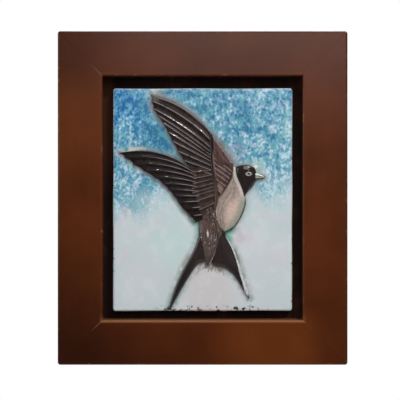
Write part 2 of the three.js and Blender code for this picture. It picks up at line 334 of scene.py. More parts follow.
# %% The hanging hole
HANG_BORE = 10 * MM
HANG_DEPTH = 12 * MM
HANG_FROM_REBATE = 22 * MM
bore = start_with(
    bpy.ops.mesh.primitive_cylinder_add,
    "bore",
    vertices=48,
    radius=HANG_BORE / 2,
    depth=HANG_DEPTH + OVERCUT,
    location=(0, -(HANG_DEPTH - OVERCUT) / 2, HALF_OPENING.z + REBATE + HANG_FROM_REBATE),
    rotation=(np.pi / 2, 0, 0),
)
combine(rails["top"], bore, "DIFFERENCE")
smooth_over_bevels(rails["top"])

# %% [markdown]
# ## The tile's slab
# The slab was cut from soft clay, so its edges stray a little and its face is rounded over into
# them. A grid makes the face: its lines are drawn together near the border, where the rounding
# needs them, and its border is then pulled back to the board as the four sides.

# %% Slab sizes and its grid lines
BORDER_LINES = np.array([0, 0.12, 0.3, 0.6, 1.0, 1.5, 2.1, 2.8]) * MM


def grid_lines(length, spacing):
    """Places across the slab, close together in the rounded border and even between."""
    first = BORDER_LINES[-1] + spacing
    middle = np.linspace(first, length - first, int((length - 2 * first) / spacing))
    return np.concatenate([BORDER_LINES, middle, length - BORDER_LINES[::-1]]) - length / 2


def stray(place):
    """How far the hand-cut edge strays outward, by its place round the outline from 0 to 1."""
    return EDGE_STRAY * np.sin(2 * np.pi * (5 * place + 0.15)) * np.cos(2 * np.pi * 3 * place)


FACE_SPACING = 1.12 * MM
columns = grid_lines(TILE_WIDTH, FACE_SPACING)
rows = grid_lines(TILE_HEIGHT, FACE_SPACING)
print("slab grid:", len(columns), "x", len(rows))


# %% Put a grid's vertices in their places
def get_places(piece):
    """The x, y and z of a piece's vertices."""
    flat = np.empty(len(piece.data.vertices) * 3)
    piece.data.vertices.foreach_get("co", flat)
    return flat.reshape(-1, 3).T


def add_grid(name, across, along):
    """A flat grid with that many lines each way, and each vertex's column and row."""
    squares = dict(x_subdivisions=across - 1, y_subdivisions=along - 1)
    grid = start_with(bpy.ops.mesh.primitive_grid_add, name, size=2, **squares)
    x, y, _ = get_places(grid)
    column = np.rint((x + 1) / 2 * (across - 1)).astype(int)
    row = np.rint((y + 1) / 2 * (along - 1)).astype(int)
    return grid, column, row


def set_places(grid, x, front, z):
    """Puts the vertices at x and z from the tile's centre, and that far in front of the wall."""
    places = np.stack([TILE_CENTRE.x + x, -front, TILE_CENTRE.z + z], axis=1)
    grid.data.vertices.foreach_set("co", places.ravel())
    grid.data.update()


def set_values(piece, name, values):
    """Stores one number for each vertex, for the materials to read."""
    stored = piece.data.attributes.new(name, "FLOAT", "POINT")
    stored.data.foreach_set("value", np.broadcast_to(values, len(piece.data.vertices)).astype(float))


def close_back(piece, distance):
    """Extrudes the open border to a plane at that distance from the wall, and fills it in."""
    edit(piece)
    bpy.ops.mesh.region_to_loop()
    bpy.ops.mesh.extrude_edges_move(TRANSFORM_OT_translate={"value": (0, 0.001 * MM, 0)})
    bpy.ops.transform.resize(value=(1, 0, 1), center_override=(0, -distance, 0))
    bpy.ops.mesh.edge_face_add()
    bpy.ops.object.mode_set(mode="OBJECT")
    face_outwards(piece)


# %% The slab
STRAY_REACH = 12 * MM
UNEVENNESS = 0.12 * MM
TINY = 1e-9


def shape_slab():
    """The slab's face with its rounded corners and arris, pulled back to the board."""
    slab, column, row = add_grid("relief_tile_glazed", len(columns), len(rows))
    x = columns[column]
    z = rows[row]
    half_wide = TILE_WIDTH / 2
    half_high = TILE_HEIGHT / 2
    inset = np.minimum(half_wide - abs(x), half_high - abs(z))

    # Square corners are drawn in to quarter circles about the corner centres.
    past_x = np.maximum(abs(x) - (half_wide - TILE_CORNER), 0)
    past_z = np.maximum(abs(z) - (half_high - TILE_CORNER), 0)
    square = np.maximum(past_x, past_z)
    kept = np.where(square > 0, square / np.maximum(np.hypot(past_x, past_z), TINY), 1)
    x = x - np.sign(x) * past_x * (1 - kept)
    z = z - np.sign(z) * past_z * (1 - kept)

    # The edges stray, less and less towards the middle of the tile.
    place = (np.arctan2(z, x) / (2 * np.pi)) % 1
    near_side = np.clip(1 - inset / STRAY_REACH, 0, 1) ** 2
    upright = (half_wide - abs(x)) < (half_high - abs(z))
    lift = stray(place) * near_side * 0.8
    x = np.where(upright, x + np.sign(x) * lift, x)
    z = np.where(upright, z, z + np.sign(z) * lift)

    # The arris is a quarter round, and the face within it is slightly uneven.
    across_arris = np.clip(inset / TILE_ARRIS, 0, 1)
    drop = TILE_ARRIS * (1 - np.sqrt(np.clip(1 - (1 - across_arris) ** 2, 0, 1)))
    waves = UNEVENNESS * np.sin(x * 61 + 2.1) * np.sin(z * 47 + 0.6)
    set_places(slab, x, TILE_FACE - drop + waves * (drop < 0.1 * MM), z)
    set_values(slab, "rim", inset / MM)
    close_back(slab, BOARD_THICK)
    return slab


slab = shape_slab()
print("slab:", len(slab.data.polygons), "faces")

# %% [markdown]
# ## The swallow
# The bird was modelled in clay on the wet slab: two spread wings of fluted feathers, the arm
# between them, a round belly, the rump and the forked tail. Each part lies between two curves.
# A grid is stretched between them, so its lines follow the feathers and the crests stay sharp,
# and its border is pressed into the slab.
#
# The curves are in hundredths of the tile's width and height from its centre.

# %% Curves
def curve(*points):
    """A smooth curve through a few points, as a function of a place from 0 to 1 along it."""
    knots = np.array(points) / 100 * (TILE_WIDTH, TILE_HEIGHT)
    last = len(knots) - 1

    def at(place):
        place = np.asarray(place, float) * last
        start = np.clip(np.floor(place).astype(int), 0, last - 1)
        t = (place - start)[..., None]
        before = knots[np.maximum(start - 1, 0)]
        here = knots[start]
        there = knots[start + 1]
        beyond = knots[np.minimum(start + 2, last)]
        leave = (there - before) / 2
        arrive = (beyond - here) / 2
        return (
            (2 * here - 2 * there + leave + arrive) * t**3
            + (-3 * here + 3 * there - 2 * leave - arrive) * t**2
            + leave * t
            + here
        )

    return at


# %% [markdown]
# A wing's root and tip both run from its leading edge back, so a feather is one step along both.

# %% The wings
raised_wing = dict(
    root=curve([5.2, 29], [4, 23.6], [4.3, 20], [4.9, 17], [5.2, 13.1], [5.2, 9.9]),
    tip=curve([-28.9, 47], [-27.5, 40.9], [-22.1, 34.4], [-16.7, 26.2], [-10.3, 17.6], [-4.1, 12.2]),
    feathers=10,
    bow=0.034,
    fade=6.4,
)
near_wing = dict(
    root=curve([-4.1, 12.4], [-3.4, 10.4], [-2.7, 6.8], [-2.2, 2.5], [-1.4, -2.7], [0.4, -9.2]),
    tip=curve([-46.6, 20.9], [-37.4, 15.3], [-24.6, 8.9], [-17, 2.9], [-11.6, -3.4], [-4.6, -9.9]),
    feathers=11,
    bow=0.044,
    fade=3.5,
)
raised_coverts = dict(
    root=curve([5.4, 23.5], [5.8, 18.9], [6.3, 14.3], [7, 9.6], [8, 4.5]),
    tip=curve([16.8, 15.8], [16.6, 12.4], [15.2, 9.4], [12.9, 5.9], [10, 2.4]),
    feathers=8,
)
near_coverts = dict(
    root=curve([6, 14.4], [6.3, 10.8], [7.1, 6.7], [8, 3.2], [7.7, -3.6]),
    tip=curve([-7.5, 14.6], [-5.4, 8.8], [-6.2, 3.8], [-4.1, 0.1], [-0.7, -7.7]),
    feathers=9,
)

# %% The body and the tail
shoulder = dict(
    left=curve([5.2, 29], [5.4, 24.3], [5.6, 19.8], [5.8, 14.9]),
    right=curve([5.7, 29.1], [9, 25.6], [12.5, 21.6], [17, 16.2]),
)
arm = dict(
    left=curve(
        [3.5, 30.4], [3.5, 25.7], [3.6, 20.7], [3.9, 15.8],
        [4.9, 9.5], [6, 4.1], [6.4, -0.5], [5.7, -4.1],
    ),
    right=curve(
        [5.6, 28.9], [5.9, 25.2], [6.5, 20.7], [7, 15.8],
        [8.1, 9.5], [8.8, 4.1], [8.5, -0.5], [7.4, -4.5],
    ),
)
belly = dict(
    left=curve(
        [16.8, 14.9], [16.3, 11.4], [14, 7.6], [10.9, 3.6],
        [7, -0.2], [6, -5.9], [8.2, -10.8], [11.8, -14.2],
    ),
    right=curve(
        [18.4, 14.6], [19.2, 10.4], [22, 5.2], [24.2, 0],
        [23.3, -4.3], [21.2, -8.3], [17.7, -12.2], [13, -14.4],
    ),
)
rump = dict(
    left=curve([-3, -1.8], [-2.1, -9.2], [-1.9, -14.9], [-1, -20.7], [0.7, -25.7], [2.6, -29]),
    right=curve([8.5, -0.9], [9.7, -9], [11.2, -14.2], [9.7, -19.1], [7.3, -23.9], [4, -29]),
)
left_streamer = dict(
    left=curve([-1.3, -14.4], [-4, -21.2], [-7.2, -26.3], [-11.5, -32.6], [-15.6, -40.1], [-18.8, -49.1]),
    right=curve([4.9, -18.5], [3.8, -26.6], [-2.4, -28.6], [-7.9, -34.7], [-13, -41.6], [-18.2, -49.2]),
)
right_streamer = dict(
    left=curve([4.9, -18.5], [5.4, -28.4], [11.9, -30.5], [17.5, -34], [21.7, -39.2], [25.5, -44.1]),
    right=curve([12.1, -14.9], [16.9, -21.6], [19.8, -27.5], [21.9, -33.1], [24.2, -38.5], [26.1, -44.1]),
)
head = dict(
    left=curve([21.7, 15.4], [19, 14.6], [18.2, 12.6], [19.2, 9.5], [21.3, 5.4], [22.9, 1.4]),
    right=curve([25, 15.4], [28.6, 14.5], [29.9, 12.2], [29.6, 9.4], [26.8, 5.6], [23.3, 1.4]),
)
beak = dict(
    left=curve([29.4, 12], [31.2, 11.6], [32.9, 11], [34.4, 10.2]),
    right=curve([29.4, 9.4], [31.2, 9.6], [32.9, 9.7], [34.5, 9.9]),
)

# %% [markdown]
# The sheet is the one shape behind all of them. Across it, u runs from the first curve to the
# second, and v runs along both. The height is a share of the relief. It is rounded down at the
# border, where wet clay was smoothed on to the slab.

# %% A sheet of relief
ROOTED = 3 * MM
SHEET_VALUES = ("along", "across", "from_left", "from_right", "from_crest")
NO_CREST = 99


def stretch(first, second, bow=lambda v: 0):
    """The map from u and v to a point of the sheet between two curves."""

    def at(u, v):
        start = first(v)
        end = second(v)
        sideways = np.stack([start[:, 1] - end[:, 1], end[:, 0] - start[:, 0]], axis=1)
        sideways /= np.maximum(np.linalg.norm(sideways, axis=1, keepdims=True), TINY)
        sideways *= np.where(sideways[:, 1:] < 0, -1, 1)
        lift = bow(v) * 4 * u * (1 - u)
        return start + (end - start) * u[:, None] + sideways * lift[:, None]

    return at


def crest_distance(at, u, v, count):
    """How far a point of a fan with that many feathers is from the nearest crest."""
    small = 1e-3
    run = at(u + small, v) - at(u - small, v)
    step = at(u, v + small) - at(u, v - small)
    area = abs(run[:, 0] * step[:, 1] - run[:, 1] * step[:, 0])
    spread = area / np.maximum(np.linalg.norm(run, axis=1), TINY) / (2 * small)
    return abs((v * count + 0.5) % 1 - 0.5) * spread / count


shapes = {}


def relief_sheet(name, first, second, u, v, height, bow=lambda v: 0, reach=lambda v: 1, feathers=0):
    """Keeps a closed sheet between two curves, and its border for the glaze that pools round it."""
    sheet, column, row = add_grid(name, len(u), len(v))
    across = u[column]
    along = v[row]
    at = stretch(first, second, bow)
    points = at(across * reach(along), along)
    width = np.linalg.norm(second(along) - first(along), axis=1) / MM
    from_crest = crest_distance(at, across, along, feathers) / MM if feathers else NO_CREST
    set_places(sheet, points[:, 0], TILE_FACE + RELIEF * height(across, along), points[:, 1])
    stored = (along, across, across * width, (1 - across) * width, from_crest)
    for value_name, values in zip(SHEET_VALUES, stored):
        set_values(sheet, value_name, values)
    close_back(sheet, TILE_FACE - ROOTED)
    border = (column == 0) | (column == len(u) - 1) | (row == 0) | (row == len(v) - 1)
    shapes[name] = (sheet, points[border])


def eased(place, width):
    """0 at both ends of the range and 1 once it is that width inside, as a quarter round."""
    inside = np.clip(np.minimum(place, 1 - place) / width, 0, 1)
    return np.sqrt(1 - (1 - inside) ** 2)


def dome(u):
    """0 at both edges of a sheet and 1 in its middle."""
    return np.sqrt(np.clip(4 * u * (1 - u), 0, 1))


def cosine_steps(count):
    """Steps from 0 to 1 that crowd at both ends, where a dome is steepest."""
    return (1 - np.cos(np.linspace(0, np.pi, count))) / 2


# %% Feathers
ROWS_PER_FEATHER = 12


def feather_sheet(name, wing, lines, root_height, tip_height, gouge, notch=0):
    """A fan of fluted feathers: sharp crests, with a hollow gouged between each two."""
    count = wing["feathers"]
    flute = lambda v: abs(np.sin(np.pi * count * v))

    def height(u, v):
        crest = root_height + (tip_height - root_height) * u
        sides = 0.35 + 0.65 * eased(v, 0.3 / count)
        tips = 0.4 + 0.6 * eased(0.5 + u / 2, 0.02)
        return (crest - gouge * flute(v) * (1 - 0.4 * u)) * sides * tips

    relief_sheet(
        name,
        wing["root"],
        wing["tip"],
        u=np.sin(np.linspace(0, np.pi / 2, lines)),
        v=np.linspace(0, 1, count * ROWS_PER_FEATHER + 1),
        height=height,
        bow=lambda v: wing.get("bow", 0) * TILE_HEIGHT * (1 - v) ** wing.get("fade", 1),
        reach=lambda v: 1 - notch * flute(v),
        feathers=count,
    )


NOTCH = 0.025
feather_sheet("raised_wing", raised_wing, 52, root_height=0.92, tip_height=0.6, gouge=0.22, notch=NOTCH)
feather_sheet("near_wing", near_wing, 60, root_height=0.9, tip_height=0.6, gouge=0.26, notch=NOTCH)
feather_sheet("raised_coverts", raised_coverts, 20, root_height=0.88, tip_height=0.74, gouge=0.14)
feather_sheet("near_coverts", near_coverts, 22, root_height=0.9, tip_height=0.88, gouge=0.18)
for name, (sheet, _) in shapes.items():
    print(name, len(sheet.data.polygons), "faces")


# %% Rolled and domed parts
def soften(v):
    """Lowers a dome towards both ends of its length."""
    return np.minimum(1, 0.35 + 1.3 * dome(v))


def round_off(v):
    """Lowers a dome gently, all the way from its middle to both ends."""
    return 0.3 + 0.7 * dome(v)


def rolled_sheet(name, part, lines, edge, middle, taper, grooves=lambda u, v: 0):
    """A part that is low at both sides and round between them. Heights are shares of the relief."""

    def height(u, v):
        rolled = edge + (middle - edge) * dome(u) * taper(v) + grooves(u, v)
        return rolled * (0.3 + 0.7 * dome(u) ** 0.5)

    across, along = map(cosine_steps, lines)
    relief_sheet(name, part["left"], part["right"], across, along, height)


def fur(u, v):
    """Fine lengthwise strokes of a pointed tool, worked into the wet clay."""
    wander = 0.35 * np.sin(5 * v + 1) + 0.2 * np.sin(13 * v)
    coarse = np.sin(2 * np.pi * (9 * u + wander))
    fine = np.sin(2 * np.pi * (17 * u - 1.4 * wander))
    return 0.035 * dome(u) * (coarse + 0.6 * fine)


BEAK_OPENS = 0.56


def beak_line(u, v):
    """The groove where the beak opens, which fades out towards its point."""
    return -0.16 * np.exp(-(((u - BEAK_OPENS) / 0.09) ** 2)) * (1 - v) ** 0.5


def thinning(loss):
    """Lowers a dome evenly by that share from its start to its end."""
    return lambda v: 1 - loss * v


rolled_sheet("shoulder", shoulder, (20, 30), edge=0.7, middle=0.9, taper=soften)
rolled_sheet("belly", belly, (44, 60), edge=0.4, middle=1, taper=soften)
rolled_sheet("rump", rump, (60, 60), edge=0.4, middle=0.8, taper=thinning(0.5), grooves=fur)
rolled_sheet("left_streamer", left_streamer, (22, 70), edge=0.3, middle=0.5, taper=thinning(0.6))
rolled_sheet("right_streamer", right_streamer, (22, 70), edge=0.3, middle=0.5, taper=thinning(0.6))
rolled_sheet("arm", arm, (20, 60), edge=0.88, middle=1, taper=soften)
rolled_sheet("head", head, (40, 40), edge=0.45, middle=0.85, taper=round_off)
rolled_sheet("beak", beak, (24, 20), edge=0.35, middle=0.7, taper=thinning(0.4), grooves=beak_line)

# %% [markdown]
# The eye is a clay bead pressed into the head, with a rolled rim round it. A ball and a ring are
# each squeezed to the almond shape of a bird's eye.

# %% The eye
EYE = Vector((0.256 * TILE_WIDTH, 0, 0.115 * TILE_HEIGHT))
EYE_HALF_WIDTH = 4.1 * MM
EYE_HALF_HEIGHT = 2.6 * MM
EYE_FRONT = TILE_FACE + 0.8 * RELIEF
RIM_THICKNESS = 0.34
RIM_HEIGHT = 1.3 * MM
BEAD_HEIGHT = 1.9 * MM
POINTED = 0.28
NO_BORDER = np.empty((0, 2))


def squeeze_to_eye(name, piece, depth):
    """Squeezes a body of unit radius to the eye's almond shape and moves it into its place."""
    x, y, z = get_places(piece)
    lid = (1 - POINTED * np.clip(abs(x), 0, 1) ** 2) * EYE_HALF_HEIGHT
    set_places(piece, EYE.x + x * EYE_HALF_WIDTH, EYE_FRONT + z * depth, EYE.z + y * lid)
    for value_name in SHEET_VALUES:
        set_values(piece, value_name, 0)
    face_outwards(piece)
    shapes[name] = (piece, NO_BORDER)


ring = start_with(
    bpy.ops.mesh.primitive_torus_add,
    "eye_rim",
    major_radius=1 - RIM_THICKNESS,
    minor_radius=RIM_THICKNESS,
    major_segments=40,
    minor_segments=12,
)
squeeze_to_eye("eye_rim", ring, RIM_HEIGHT / RIM_THICKNESS)
ball = start_with(
    bpy.ops.mesh.primitive_uv_sphere_add, "eye_bead", segments=32, ring_count=16, radius=0.45
)
squeeze_to_eye("eye_bead", ball, BEAD_HEIGHT)

# %% [markdown]
# Glaze runs down into the corner between the bird and the slab and pools there. Each vertex of
# the slab gets its distance to the nearest border of the relief, and the glaze reads it later.

# %% Distance from the bird
borders = np.concatenate([points for _, points in shapes.values()])
tree = kdtree.KDTree(len(borders))
for number, (x, z) in enumerate(borders):
    tree.insert((TILE_CENTRE.x + x, 0, TILE_CENTRE.z + z), number)
tree.balance()
shore = [tree.find((corner.co.x, 0, corner.co.z))[2] / MM for corner in slab.data.vertices]
set_values(slab, "shore", shore)
print("pool distances in mm, up to", round(max(shore), 1))

# %% [markdown]
# ## Finishes
# A finish is written as sums on values that vary over the surface. One small class wraps a
# node's output and gives it Python's operators, so 1 - mask adds the Math node that does it.
#
# Colours go on as a maker's would, in coats. Each coat has a share, which says where it lies and
# how thickly, and the six-digit code of its colour. Sizes inside a finish are in millimetres.

# %% Values
def rgb(code):
    """A colour from its six-digit code, as the linear numbers that a shader takes."""
    parts = np.array([int(code[k : k + 2], 16) for k in (0, 2, 4)]) / 255
    linear = np.where(parts <= 0.04045, parts / 12.92, ((parts + 0.055) / 1.055) ** 2.4)
    return (*linear, 1)


class Value:
    """One output of a node, as a number that can be reckoned with."""

    def __init__(self, finish, socket):
        self.finish = finish
        self.socket = socket

    def reckon(self, operation, *others, **settings):
        """Adds a Math node with this value on its first socket and the others after it."""
        inputs = dict(enumerate([self, *others]))
        return self.finish.node("Math", dict(operation=operation, **settings), inputs)

    __add__ = __radd__ = partialmethod(reckon, "ADD")
    __mul__ = __rmul__ = partialmethod(reckon, "MULTIPLY")
    __sub__ = partialmethod(reckon, "SUBTRACT")
    __truediv__ = partialmethod(reckon, "DIVIDE")
    __pow__ = partialmethod(reckon, "POWER")
    __abs__ = partialmethod(reckon, "ABSOLUTE")
    most = partialmethod(reckon, "MAXIMUM")

    def __rsub__(self, other):
        return self.finish.node("Math", dict(operation="SUBTRACT"), {0: other, 1: self})

    def held(self):
        """Keeps the value between 0 and 1."""
        return self.reckon("ADD", 0, use_clamp=True)

    def step(self, start, end):
        """Goes smoothly from 0 at start to 1 at end. Start may be the larger."""
        settings = dict(interpolation_type="SMOOTHSTEP")
        if start < end:
            return self.finish.node("MapRange", settings, {0: self, 1: start, 2: end})
        return 1 - self.finish.node("MapRange", settings, {0: self, 1: end, 2: start})


# %% Finishes
class Finish:
    """A material, and the nodes that vary it over the surface."""

    def __init__(self, name, **constant):
        self.material = bpy.data.materials.new(name)
        self.material.use_nodes = True
        self.tree = self.material.node_tree
        self.surface = self.tree.nodes["Principled BSDF"]
        for socket, value in constant.items():
            self.surface.inputs[socket.replace("_", " ")].default_value = value
        self.place = Value(self, self.tree.nodes.new("ShaderNodeTexCoord").outputs["Object"])

    def node(self, kind, settings=None, inputs=None, output=0):
        """Adds a node: its settings are set first, then its sockets' values or links."""
        made = self.tree.nodes.new("ShaderNode" + kind)
        for name, value in (settings or {}).items():
            setattr(made, name, value)
        for socket, value in (inputs or {}).items():
            if isinstance(value, Value):
                self.tree.links.new(value.socket, made.inputs[socket])
            else:
                made.inputs[socket].default_value = value
        return Value(self, made.outputs[output])

    def axes(self):
        """The three parts of the place, in millimetres."""
        split = self.node("SeparateXYZ", inputs={0: self.place})
        return [Value(self, part) * 1000 for part in split.socket.node.outputs]

    def stored(self, *names):
        """Numbers that were stored on the vertices."""
        return [self.node("Attribute", dict(attribute_name=name), output="Fac") for name in names]

    def noise(self, size, detail=2, stretch=(1, 1, 1), rough=0.5, seed=0):
        """Cloudy noise from 0 to 1, with patches of about that many millimetres."""
        mapping = {"Vector": self.place, "Scale": stretch, "Location": (seed, seed, seed)}
        scaled = self.node("Mapping", dict(vector_type="POINT"), mapping)
        texture = {"Vector": scaled, "Scale": 1000 / size, "Detail": detail, "Roughness": rough}
        return self.node("TexNoise", inputs=texture)

    def mix(self, share, first, second):
        """A colour between two others, which are codes or mixes themselves."""
        sides = [rgb(side) if isinstance(side, str) else side for side in (first, second)]
        return self.node("Mix", dict(data_type="RGBA"), {0: share, 6: sides[0], 7: sides[1]}, output=2)

    def coats(self, colour, *coats):
        """Lays coats over a colour, one after another."""
        for share, coat in coats:
            colour = self.mix(share, colour, coat)
        return colour

    def done(self, colour, height, roughness=None, gloss=None, depth=0.25, strength=0.4):
        """Links what varies to the shader, with fine relief that deep, and gives the material."""
        relief = {"Height": height, "Distance": depth * MM, "Strength": strength}
        bump = self.node("Bump", inputs=relief)
        feeds = {"Base Color": colour, "Roughness": roughness, "Coat Weight": gloss, "Normal": bump}
        for socket, value in feeds.items():
            if value is not None:
                self.tree.links.new(value.socket, self.surface.inputs[socket])
        return self.material


def dress(piece, material):
    """Gives a piece one material in place of any other."""
    piece.data.materials.clear()
    piece.data.materials.append(material)


# %% [markdown]
# ### Stained wood
# The frame has a dark brown stain under a satin varnish. The grain runs along each rail, so the noise is
# stretched along X on two rails and along Z on the others. Painted shade darkens the outer edges and the
# left corners, and painted light brightens the lower right. The wood is also a little darker in the
# middle of the top and lighter high on the left rail. A painted highlight lies along the sight edge,
# strongest on the bottom rail, pale lines run out from the inner ends of the mitres, and the front edges
# are scuffed.

# %% Wood finish
HALF_WIDE = HALF_OPENING.x / MM
HALF_HIGH = HALF_OPENING.z / MM
CENTRE_TO_CORNER = (HALF_FRAME.x + HALF_FRAME.z) / MM
OUTER_EDGE = RAIL_WIDTH / MM


def wood_finish(name, along, warm, dark, light):
    """Stained wood with its grain along the X or the Z axis."""
    wood = Finish(name, Specular_IOR_Level=0.2)
    x, y, z = wood.axes()
    grained = lambda pull: (pull, 1, 1) if along == "x" else (1, 1, pull)
    grain = wood.noise(2.2, detail=5, stretch=grained(0.04), rough=0.62)
    pores = wood.noise(0.8, detail=3, stretch=grained(0.12), rough=0.7, seed=3)
    cloud = wood.noise(60, seed=7)
    scuff = wood.noise(7, detail=3, rough=0.7, seed=23)

    beside = abs(x) - HALF_WIDE
    above = abs(z) - HALF_HIGH
    from_opening = beside.most(above)
    lower_left = (x + z + CENTRE_TO_CORNER).step(240, 20) ** 1.5
    upper_left = (x - z + CENTRE_TO_CORNER).step(120, 40)
    top_middle = abs(x - 4).step(40, 5) * z.step(130, 150)
    lower_right = x.step(0, 60) * x.step(145, 110) * z.step(-120, -150)
    left_rail = abs(z - 85).step(70, 20) * x.step(-110, -118)
    sight_highlight = from_opening.step(4, 1.5) * (z.step(-130, -140) * 0.6 + 0.08)
    joint = abs(beside - above).step(0.9, 0.4) * from_opening.step(15, 5)
    arris = from_opening.step(OUTER_EDGE - 2.6, OUTER_EDGE - 1.2).most(from_opening.step(2, 0.8))
    at_front = (y + FRAME_DEPTH / MM).step(3.4, 1.6)
    stain_and_shade = wood.coats(
        wood.mix((grain * 0.2 + cloud * 0.8).step(0.3, 0.7), dark, warm),
        # Painted shade: darker towards the outer edges.
        (from_opening.step(30, 52) * 0.35, dark),
        # Painted shade at the lower and upper left corners, and darker in the middle of the top.
        (lower_left.most(upper_left * 0.55).most(top_middle * 0.3) * 0.7, "180702"),
        # Painted light at the lower right, and lighter high on the left rail.
        (lower_right.most(left_rail * 0.6) * 0.28, "7a4216"),
        # A painted highlight on the sight edge, strongest on the bottom rail, which faces the light.
        (sight_highlight, light),
        (joint * (x.step(60, -60) * 0.4 + 0.15), "7d5644"),
        (pores.step(0.58, 0.75) * 0.15, "2a130a"),
        (scuff.step(0.6, 0.7) * arris * at_front * 0.5, "96705c"),
    )
    satin = grain * 0.06 + 0.17 + cloud * 0.06
    return wood.done(stain_and_shade, grain * 0.6 + pores * 0.4, satin, depth=0.1, strength=0.25)


level_wood = wood_finish("stained_wood_level", "x", warm="52240b", dark="451d08", light="8a5a3a")
upright_wood = wood_finish("stained_wood_upright", "z", warm="54260d", dark="471f09", light="6f452c")
for side, rail in rails.items():
    dress(rail, level_wood if side in ("top", "bottom") else upright_wood)

# %% [markdown]
# ### Painted board
# The board behind the tile is painted almost black. Brush marks, a little brown showing through and a
# band of painted light high on the left keep it from looking like a hole.

# %% Board finish
def board_finish():
    """Nearly black matt paint, with a band of painted light brown high on the left."""
    paint = Finish("dark_board_paint", Specular_IOR_Level=0.05)
    x, y, z = paint.axes()
    brushed = paint.noise(3, detail=4, stretch=(1, 1, 0.08))
    patches = paint.noise(28, seed=5)
    colour = paint.coats(
        paint.mix((brushed * 0.4 + patches * 0.6).step(0.5, 0.75), "1e1311", "3a2117"),
        # Painted light: a brown band high on the left.
        (x.step(-101, -106) * z.step(0, 60) * 0.7, "3d2317"),
    )
    return paint.done(colour, brushed, brushed * 0.15 + 0.7, depth=0.15)


dress(bpy.data.objects["backing_board"], board_finish())

# %% [markdown]
# ### Sponged sky
# White glaze lies under the whole face. Blue was dabbed over its upper half with a sponge, in
# three tones, and thins out below the wings. Noise of several sizes makes the dabs, and their
# threshold rises as the sky fades. Lilac and green were dabbed over some of the blue.
#
# Some dabs and marks have a place of their own on the face, and some marks are painted shadows and
# highlights. Each is a diamond that fades out.
# Its three numbers say where it lies from the middle of the panel and how far it reaches, in
# millimetres. For a tone of the sky, one more number says how much lighter the blue is there.

# %% Places on the face
def around(x, z, centre_x, centre_z, reach):
    """1 near a point of the face, and 0 past that reach from it."""
    return (abs(x - centre_x) + abs(z - centre_z)).step(reach, reach * 0.35)


SKY_TONES = {
    "below the near wing's tip": ((-88, 25, 32), 0.055),
    "left of the raised wing": ((-82, 72, 30), 0.03),
    "under the near wing": ((-70, 21, 14), -0.06),
    "between the wings": ((-48, 72, 34), -0.07),
    "above the head": ((46, 66, 30), -0.03),
    "high on the right": ((39, 108, 28), -0.035),
}
MARKS = {
    "shoulder": (28, 54, 34),
    "above shoulder": (38, 53, 18),
    "raised tip": (-52, 102, 38),
    "above raised tip": (-51, 122, 9),
    "corner above raised tip": (-55, 125, 9),
    "fork of the wings": (-26, 49, 17),
    "near tip": (-80, 57, 20),
    "below near wing": (-47, 14, 46),
    "foot of near wing": (-8, -34, 22),
    "left of rump": (-22, -44, 30),
    "foot of belly": (28, -41, 18),
    "root of right streamer": (32, -40, 15),
    "right of right streamer": (42, -64, 16),
    "inside left streamer": (-22, -74, 22),
    "brow": (61, 35, 9),
    # A painted highlight on the edge of the head.
    "glint on the brow": (61, 36, 3.5),
    "above beak": (62, 33, 14),
    "root of beak": (58, 34, 6),
    "under beak": (58, 17, 15),
}


# %% Sky glaze
def dabbed_sky(sky, x, z, ground):
    """The blue part of the face, over the pale ground."""
    speckle = sky.noise(2.8, stretch=(1, 1, 0.8), rough=0.6)
    dabs = sky.noise(6.5, stretch=(1, 1, 0.85), seed=11)
    patches = sky.noise(19, seed=31)
    hues = sky.noise(9, seed=60)
    drifts = sky.noise(38, seed=2)
    tone = speckle * 0.36 + dabs * 0.34 + patches * 0.3 + x * 0.0003 - z * 0.0007 + 0.04
    for place, lighter in SKY_TONES.values():
        tone = tone + around(x, z, *place) * lighter
    deep = x.step(-50, -85) * z.step(55, 90)
    darkest = sky.mix(deep, "1f6a8e", "0a5c94")
    middle = sky.mix(deep, "5593ae", "4a8fb6")
    blue = sky.coats(
        sky.mix(tone.step(0.4, 0.5), darkest, middle),
        (tone.step(0.485, 0.62), "b8d1da"),
        (hues.step(0.52, 0.66) * 0.5, "5fa3a6"),
        (hues.step(0.46, 0.34) * tone.step(0.4, 0.52) * (1 - deep) * 0.4, "b4bdd6"),
    )
    height = z + (drifts - 0.5) * 60 - x * 0.08 + abs(x).step(50, 80) * 11
    cover = (speckle * 0.4 + dabs * 0.6 + height.step(-45, 55) * 0.62).step(0.6, 0.98)
    return sky.mix(cover, ground, blue)
